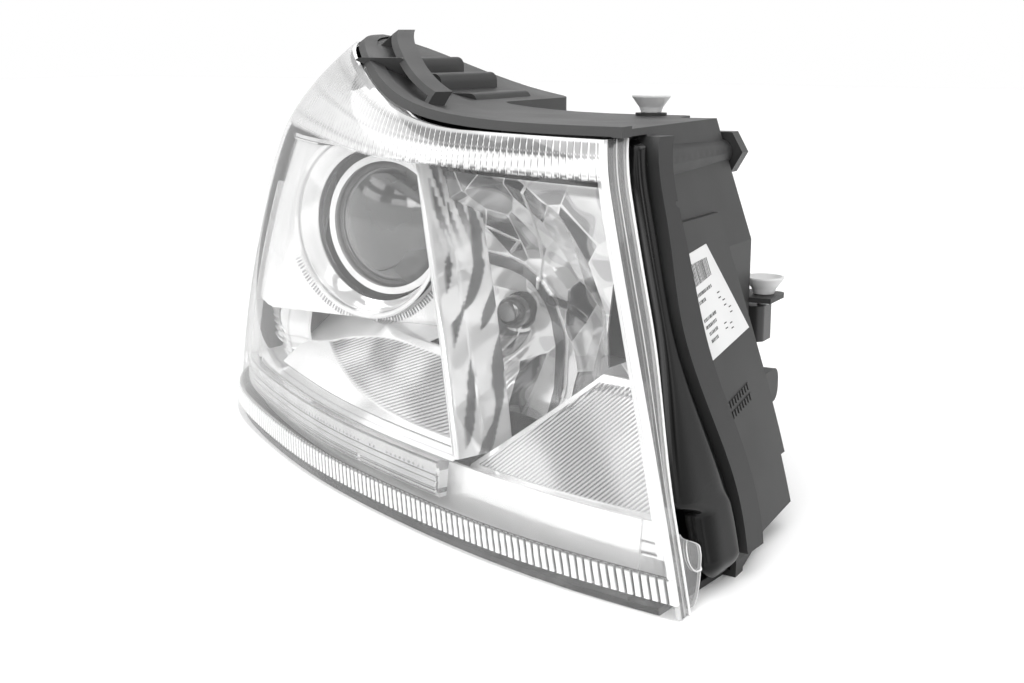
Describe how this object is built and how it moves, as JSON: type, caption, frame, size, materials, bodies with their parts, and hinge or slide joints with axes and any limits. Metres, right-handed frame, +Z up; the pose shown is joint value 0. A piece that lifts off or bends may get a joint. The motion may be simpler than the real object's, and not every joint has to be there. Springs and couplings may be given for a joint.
{
  "type": "car headlight assembly",
  "caption": "Right-hand wraparound car headlamp: clear ribbed lens, projector low beam, faceted high beam, fluted chrome panels, black housing with service caps and aim adjusters.",
  "frame": {"origin": "centre of the base of the whole lamp as it stands on its lower edge", "axes": "+Z up, +Y to the back of the car, +X towards the middle of the car"},
  "size_m": [0.447, 0.3334, 0.2451],
  "materials": {
    "housing_plastic": "glass-filled black polypropylene, matt moulded grain",
    "clear_lens": "hard-coated clear polycarbonate, polished",
    "seal_rubber": "glossy black rubber",
    "label_paper": "white vinyl sticker with plain printed bars",
    "chrome_trim": "vacuum-metallised plastic, mirror finish",
    "fluted_chrome": "vacuum-metallised plastic with fine flutes",
    "clear_plastic": "clear acrylic, polished",
    "amber_glass": "amber coated bulb glass",
    "holder_plastic": "black nylon",
    "bulb_glass": "clear bulb glass on a steel cap",
    "motor_plastic": "black nylon case",
    "screw_steel": "zinc-plated steel",
    "white_plastic": "white acetal",
    "frame_plastic": "grey glass-filled plastic",
    "optical_glass": "polished optical glass",
    "ring_aluminium": "bright turned aluminium",
    "bowl_aluminium": "die-cast aluminium",
    "reflector_aluminium": "aluminised mirror",
    "shield_black": "black heat-proof paint",
    "connector_plastic": "black nylon",
    "pin_brass": "tin-brass terminals",
    "spring_steel": "bright spring wire",
    "cap_plastic": "black polypropylene, satin"
  },
  "bodies": {
    "housing": {"housing": "housing_plastic", "upper_strap": "housing_plastic", "outer_lens": "clear_lens", "edge_seal": "seal_rubber", "type_label": "label_paper", "projector_bezel": "chrome_trim", "outer_trim": "chrome_trim", "divider_fin": "chrome_trim", "outer_flute_panel": "fluted_chrome", "inner_flute_panel": "fluted_chrome", "inner_trim": "chrome_trim", "lower_trim": "chrome_trim", "light_guide": "clear_plastic", "turn_signal_reflector": "chrome_trim", "levelling_motor": "motor_plastic", "motor_screws": "screw_steel", "fixing_stud": "screw_steel", "main_connector": "connector_plastic", "connector_pins": "pin_brass", "vent_caps": "seal_rubber", "low_beam_neck": "housing_plastic", "high_beam_neck": "housing_plastic", "low_beam_cap_seal": "seal_rubber", "high_beam_cap_seal": "seal_rubber"},
    "optics": {"optics_frame": "frame_plastic", "projector_glass": "optical_glass", "glass_ring": "ring_aluminium", "projector_bowl": "bowl_aluminium", "cutoff_shield": "screw_steel", "projector_reflector": "reflector_aluminium", "low_beam_bulb": "bulb_glass", "high_beam_reflector": "reflector_aluminium", "high_beam_bulb": "bulb_glass", "bulb_shield": "shield_black", "carrier_screws": "screw_steel"},
    "swivel": {"pivot_ball": "white_plastic"},
    "levelling_rod": {"levelling_rod": "white_plastic"},
    "horizontal_aim_rod": {"horizontal_aim_rod": "white_plastic"},
    "horizontal_adjuster": {"horizontal_adjuster": "white_plastic"},
    "vertical_adjuster": {"vertical_adjuster": "white_plastic"},
    "adjusting_sleeve": {"adjusting_sleeve": "holder_plastic"},
    "low_beam_cap": {"low_beam_cap": "cap_plastic"},
    "high_beam_cap": {"high_beam_cap": "cap_plastic"},
    "low_beam_bulb_clip": {"low_beam_bulb_clip": "spring_steel"},
    "high_beam_bulb_clip": {"high_beam_bulb_clip": "spring_steel"},
    "turn_bulb_holder": {"turn_bulb_holder": "holder_plastic", "turn_signal_bulb": "amber_glass"},
    "position_bulb_holder": {"position_bulb_holder": "holder_plastic", "position_bulb": "bulb_glass"}
  },
  "joints": [
    {"name": "horizontal_aim", "type": "hinge", "parent": "housing", "child": "swivel", "pos_m": [0.15472, -0.03829, 0.15], "axis": [0, 0, 1], "range_deg": [-1.5, 1.5]},
    {"name": "vertical_aim", "type": "hinge", "parent": "swivel", "child": "optics", "pos_m": [0.15472, -0.03829, 0.15], "axis": [1, 0, 0], "range_deg": [-2.5, 2.5]},
    {"name": "levelling_travel", "type": "slide", "parent": "housing", "child": "levelling_rod", "axis": [0, 1, 0], "range_m": [-0.0032, 0.0032]},
    {"name": "horizontal_aim_travel", "type": "slide", "parent": "housing", "child": "horizontal_aim_rod", "axis": [0, 1, 0], "range_m": [-0.002, 0.002]},
    {"name": "horizontal_adjuster_turn", "type": "hinge", "parent": "housing", "child": "horizontal_adjuster", "pos_m": [0.11072, 0.03271, 0.1995], "axis": [0, 0, 1], "range_deg": [-200, 200]},
    {"name": "vertical_adjuster_turn", "type": "hinge", "parent": "housing", "child": "vertical_adjuster", "pos_m": [0.17972, 0.02771, 0.1065], "axis": [0, 0, 1], "range_deg": [-320, 320]},
    {"name": "adjusting_sleeve_turn", "type": "hinge", "parent": "housing", "child": "adjusting_sleeve", "pos_m": [0.15672, 0.01771, 0.181], "axis": [0, 1, 0], "continuous": true},
    {"name": "low_beam_cap_twist", "type": "hinge", "parent": "housing", "child": "low_beam_cap", "pos_m": [-0.04628, 0.13371, 0.1315], "axis": [0, 1, 0], "range_deg": [0, 35]},
    {"name": "high_beam_cap_twist", "type": "hinge", "parent": "housing", "child": "high_beam_cap", "pos_m": [0.06472, 0.04171, 0.097], "axis": [0, 1, 0], "range_deg": [0, 35]},
    {"name": "low_beam_clip_swing", "type": "hinge", "parent": "optics", "child": "low_beam_bulb_clip", "pos_m": [-0.04628, 0.12031, 0.1125], "axis": [-1, 0, 0], "range_deg": [0, 60]},
    {"name": "high_beam_clip_swing", "type": "hinge", "parent": "optics", "child": "high_beam_bulb_clip", "pos_m": [0.05672, 0.01231, 0.075], "axis": [-1, 0, 0], "range_deg": [0, 60]},
    {"name": "turn_bulb_twist", "type": "hinge", "parent": "housing", "child": "turn_bulb_holder", "pos_m": [-0.11128, 0.13371, 0.197], "axis": [0, 1, 0], "range_deg": [0, 45]},
    {"name": "position_bulb_twist", "type": "hinge", "parent": "housing", "child": "position_bulb_holder", "pos_m": [-0.15528, 0.13371, 0.062], "axis": [0, 1, 0], "range_deg": [0, 45]}
  ],
  "couplings": [
    {"joint": "levelling_travel", "follows": "vertical_aim", "m_per_rad": 0.06},
    {"joint": "horizontal_aim_travel", "follows": "horizontal_aim", "m_per_rad": -0.044},
    {"joint": "horizontal_adjuster_turn", "follows": "horizontal_aim", "ratio": 120},
    {"joint": "vertical_adjuster_turn", "follows": "vertical_aim", "ratio": 120}
  ]
}
